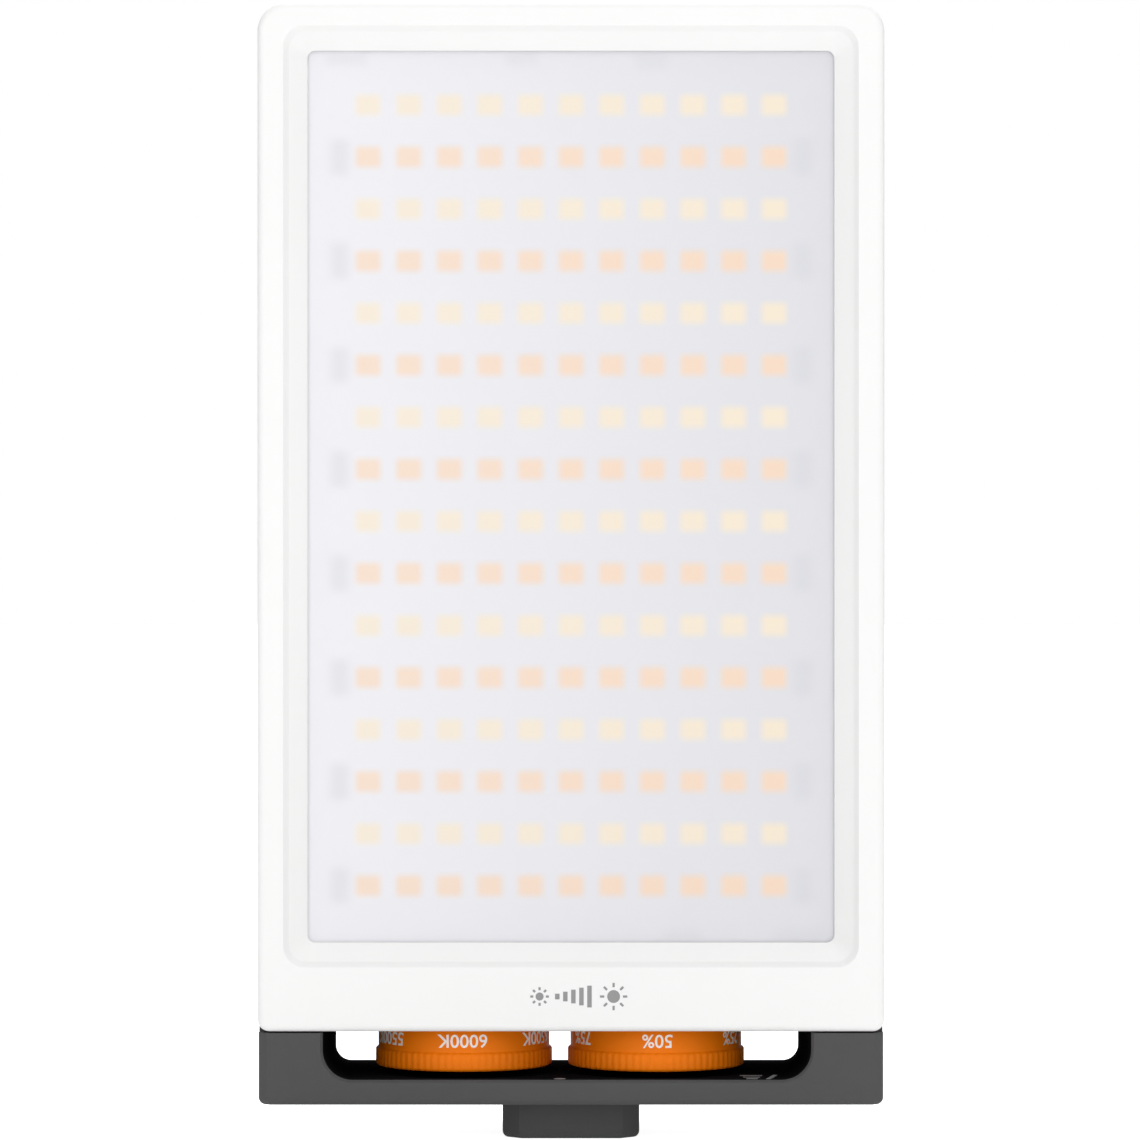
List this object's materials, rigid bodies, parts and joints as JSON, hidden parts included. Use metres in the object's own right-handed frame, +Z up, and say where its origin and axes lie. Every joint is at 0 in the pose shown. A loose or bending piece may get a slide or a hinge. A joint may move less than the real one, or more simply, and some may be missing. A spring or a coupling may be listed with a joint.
{
  "type": "led panel light",
  "caption": "Pocket LED panel light: white slab housing with a frosted panel over rows of LEDs, and a dark end frame that guards orange thumb dials and carries a tripod boss.",
  "frame": {"origin": "centre of the tripod boss's lower face, which is the centre of the bounding box's bottom", "axes": "+Z up from the tripod boss to the top of the lit panel, -Y the way the light shines, +X to the right seen from the front"},
  "size_m": [0.0786, 0.03, 0.1423],
  "materials": {
    "housing_white": "fine satin, moulded",
    "button_white": "satin",
    "frame_dark": "satin, near-black grey",
    "dial_orange": "satin gloss",
    "diffuser_frost": "frosted, translucent",
    "reflector_white": "matt",
    "board_white": "white solder mask",
    "phosphor_cool": "pale yellow phosphor",
    "phosphor_warm": "orange phosphor",
    "thermal_pad_grey": "soft, matt",
    "heat_sink_aluminium": "milled",
    "inner_black": "matt",
    "cell_wrap": "shrink wrap",
    "nickel": "rolled",
    "shaft_steel": "turned",
    "pot_metal": "pressed",
    "port_steel": "drawn",
    "board_green": "solder mask",
    "inductor_grey": "matt, pressed powder",
    "insert_brass": "turned",
    "indicator_clear": "clear",
    "screw_steel": "plated",
    "wire_red": "insulation",
    "wire_black": "insulation",
    "wire_white": "insulation"
  },
  "bodies": {
    "light_body": {"front_housing": "housing_white", "rear_cover": "housing_white", "end_frame": "frame_dark", "diffuser": "diffuser_frost", "light_box_frame": "reflector_white", "led_board": "board_white", "cool_led_array": "phosphor_cool", "warm_led_array": "phosphor_warm", "thermal_pad": "thermal_pad_grey", "heat_sink": "heat_sink_aluminium", "fan_frame": "inner_black", "battery_cradle": "inner_black", "power_switch": "inner_black", "battery_cell_lower": "cell_wrap", "battery_cell_upper": "cell_wrap", "cell_link": "nickel", "cct_potentiometer": "pot_metal", "brightness_potentiometer": "pot_metal", "usb_c_port": "port_steel", "dial_board": "board_green", "driver_board": "board_green", "driver_inductor": "inductor_grey", "tripod_insert": "insert_brass", "battery_indicator": "indicator_clear", "rear_screw_1": "screw_steel", "rear_screw_2": "screw_steel", "rear_screw_3": "screw_steel", "rear_screw_4": "screw_steel", "frame_screw_1": "screw_steel", "frame_screw_2": "screw_steel", "board_screw_1": "screw_steel", "board_screw_2": "screw_steel", "board_screw_3": "screw_steel", "board_screw_4": "screw_steel", "fan_screw_1": "screw_steel", "fan_screw_2": "screw_steel", "battery_lead_red": "wire_red", "battery_lead_black": "wire_black", "fan_lead": "wire_black", "led_feed": "wire_white"},
    "cct_dial_body": {"cct_dial": "dial_orange", "cct_shaft": "shaft_steel"},
    "brightness_dial_body": {"brightness_dial": "dial_orange", "brightness_shaft": "shaft_steel"},
    "power_button_body": {"power_button": "button_white", "switch_plunger": "inner_black"},
    "fan_rotor": {"fan_impeller": "inner_black"}
  },
  "joints": [
    {"name": "cct_dial_turn", "type": "hinge", "parent": "light_body", "child": "cct_dial_body", "pos_m": [-0.0136, 0, 0.0116], "axis": [0, 0, 1], "range_deg": [-60, 240]},
    {"name": "brightness_dial_turn", "type": "hinge", "parent": "light_body", "child": "brightness_dial_body", "pos_m": [0.0108, 0, 0.0116], "axis": [0, 0, 1], "range_deg": [-120, 120]},
    {"name": "power_button_press", "type": "slide", "parent": "light_body", "child": "power_button_body", "axis": [-1, 0, 0], "range_m": [0, 0.0006], "stiffness_N_per_m": 800},
    {"name": "fan_spin", "type": "hinge", "parent": "light_body", "child": "fan_rotor", "pos_m": [0, 0.0074, 0.0695], "axis": [0, 1, 0], "continuous": true}
  ]
}
